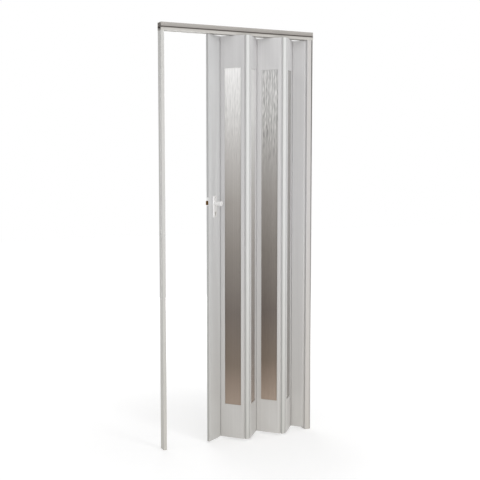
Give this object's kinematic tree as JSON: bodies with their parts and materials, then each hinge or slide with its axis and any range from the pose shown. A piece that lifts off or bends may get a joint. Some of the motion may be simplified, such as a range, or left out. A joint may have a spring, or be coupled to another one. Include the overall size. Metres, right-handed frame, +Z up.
{
  "type": "accordion door",
  "caption": "Folding accordion door of hinged white plastic panels with tall smoky wavy panes, hung from a head rail, with a knob latch on the lead post and a slim strike profile.",
  "frame": {"origin": "middle of the head rail's top mounting face", "axes": "+X along the rail from the strike to the wall side, +Y to the back of the door, +Z up"},
  "size_m": [0.822, 0.1172, 2.05],
  "materials": {
    "white_plastic": "satin, fine vertical streaks",
    "rail_plastic": "satin",
    "smoky_pane": "wavy, smoky",
    "nylon": "moulded",
    "coated_metal": "gloss white coat",
    "brass": "satin",
    "steel": "zinc plated"
  },
  "bodies": {
    "frame": {"head_rail": "rail_plastic", "wall_channel": "white_plastic", "wall_hinge_strip": "white_plastic", "strike_profile": "white_plastic", "strike_plate": "steel"},
    "tail": {"tail_board": "white_plastic"},
    "link_5": {"hinge_link_5": "white_plastic"},
    "panel_4": {"panel_4_board": "white_plastic", "panel_4_pane": "smoky_pane", "panel_4_glazing_bead": "white_plastic", "panel_4_hanger": "nylon", "panel_4_glider": "nylon"},
    "link_4": {"hinge_link_4": "white_plastic"},
    "panel_3": {"panel_3_board": "white_plastic", "panel_3_pane": "smoky_pane", "panel_3_glazing_bead": "white_plastic"},
    "link_3": {"hinge_link_3": "white_plastic"},
    "panel_2": {"panel_2_board": "white_plastic", "panel_2_pane": "smoky_pane", "panel_2_glazing_bead": "white_plastic", "panel_2_hanger": "nylon", "panel_2_glider": "nylon"},
    "link_2": {"hinge_link_2": "white_plastic"},
    "panel_1": {"panel_1_board": "white_plastic", "panel_1_pane": "smoky_pane", "panel_1_glazing_bead": "white_plastic"},
    "link_1": {"hinge_link_1": "white_plastic"},
    "lead": {"lead_post": "white_plastic", "lead_foot_plug": "white_plastic", "lead_hanger": "nylon", "lead_glider": "nylon", "lock_case": "steel", "lock_cover": "steel", "lock_faceplate": "coated_metal", "front_plate": "coated_metal", "rear_plate": "coated_metal", "plate_screws": "steel", "key_cylinder": "steel"},
    "latch": {"latch_bolt": "brass"},
    "knobs": {"front_knob": "coated_metal", "rear_knob": "coated_metal", "knob_spindle": "steel", "lock_hub": "steel"},
    "key_turner": {"key_plug": "steel"}
  },
  "joints": [
    {"name": "tail_fold", "type": "hinge", "parent": "frame", "child": "tail", "pos_m": [0.373, 0, 0], "axis": [0, 0, 1], "range_deg": [-26.5, 45.5]},
    {"name": "fold_5_wall_side", "type": "hinge", "parent": "tail", "child": "link_5", "pos_m": [0.33663, 0.04258, 0], "axis": [0, 0, 1], "range_deg": [-45.6, 26.6]},
    {"name": "fold_5_lead_side", "type": "hinge", "parent": "link_5", "child": "panel_4", "pos_m": [0.32063, 0.04258, 0], "axis": [0, 0, 1], "range_deg": [-45.6, 26.6]},
    {"name": "fold_4_wall_side", "type": "hinge", "parent": "panel_4", "child": "link_4", "pos_m": [0.23458, -0.05817, 0], "axis": [0, 0, 1], "range_deg": [-26.6, 45.6]},
    {"name": "fold_4_lead_side", "type": "hinge", "parent": "link_4", "child": "panel_3", "pos_m": [0.21858, -0.05817, 0], "axis": [0, 0, 1], "range_deg": [-26.6, 45.6]},
    {"name": "fold_3_wall_side", "type": "hinge", "parent": "panel_3", "child": "link_3", "pos_m": [0.13253, 0.04258, 0], "axis": [0, 0, 1], "range_deg": [-45.6, 26.6]},
    {"name": "fold_3_lead_side", "type": "hinge", "parent": "link_3", "child": "panel_2", "pos_m": [0.11653, 0.04258, 0], "axis": [0, 0, 1], "range_deg": [-45.6, 26.6]},
    {"name": "fold_2_wall_side", "type": "hinge", "parent": "panel_2", "child": "link_2", "pos_m": [0.03047, -0.05817, 0], "axis": [0, 0, 1], "range_deg": [-26.6, 45.6]},
    {"name": "fold_2_lead_side", "type": "hinge", "parent": "link_2", "child": "panel_1", "pos_m": [0.01448, -0.05817, 0], "axis": [0, 0, 1], "range_deg": [-26.6, 45.6]},
    {"name": "fold_1_wall_side", "type": "hinge", "parent": "panel_1", "child": "link_1", "pos_m": [-0.07158, 0.04258, 0], "axis": [0, 0, 1], "range_deg": [-45.6, 26.6]},
    {"name": "fold_1_lead_side", "type": "hinge", "parent": "link_1", "child": "lead", "pos_m": [-0.08758, 0.04258, 0], "axis": [0, 0, 1], "range_deg": [-27.4, 16]},
    {"name": "knob_turn", "type": "hinge", "parent": "lead", "child": "knobs", "pos_m": [-0.12528, 0.01802, -0.856], "axis": [-0.5459, 0.8378, 0], "range_deg": [-1, 46]},
    {"name": "latch_slide", "type": "slide", "parent": "lead", "child": "latch", "axis": [0.8378, 0.5459, 0], "range_m": [0, 0.01], "stiffness_N_per_m": 20},
    {"name": "key_turn", "type": "hinge", "parent": "lead", "child": "key_turner", "pos_m": [-0.12528, 0.01802, -0.904], "axis": [-0.5459, 0.8378, 0], "range_deg": [0, 90]}
  ],
  "couplings": [
    {"joint": "fold_5_wall_side", "follows": "tail_fold", "ratio": -1},
    {"joint": "fold_5_lead_side", "follows": "tail_fold", "ratio": -1},
    {"joint": "fold_4_wall_side", "follows": "tail_fold", "ratio": 1},
    {"joint": "fold_4_lead_side", "follows": "tail_fold", "ratio": 1},
    {"joint": "fold_3_wall_side", "follows": "tail_fold", "ratio": -1},
    {"joint": "fold_3_lead_side", "follows": "tail_fold", "ratio": -1},
    {"joint": "fold_2_wall_side", "follows": "tail_fold", "ratio": 1},
    {"joint": "fold_2_lead_side", "follows": "tail_fold", "ratio": 1},
    {"joint": "fold_1_wall_side", "follows": "tail_fold", "ratio": -1},
    {"joint": "fold_1_lead_side", "follows": "tail_fold", "ratio": -0.6},
    {"joint": "knob_turn", "follows": "latch_slide", "rad_per_m": 78.54}
  ]
}
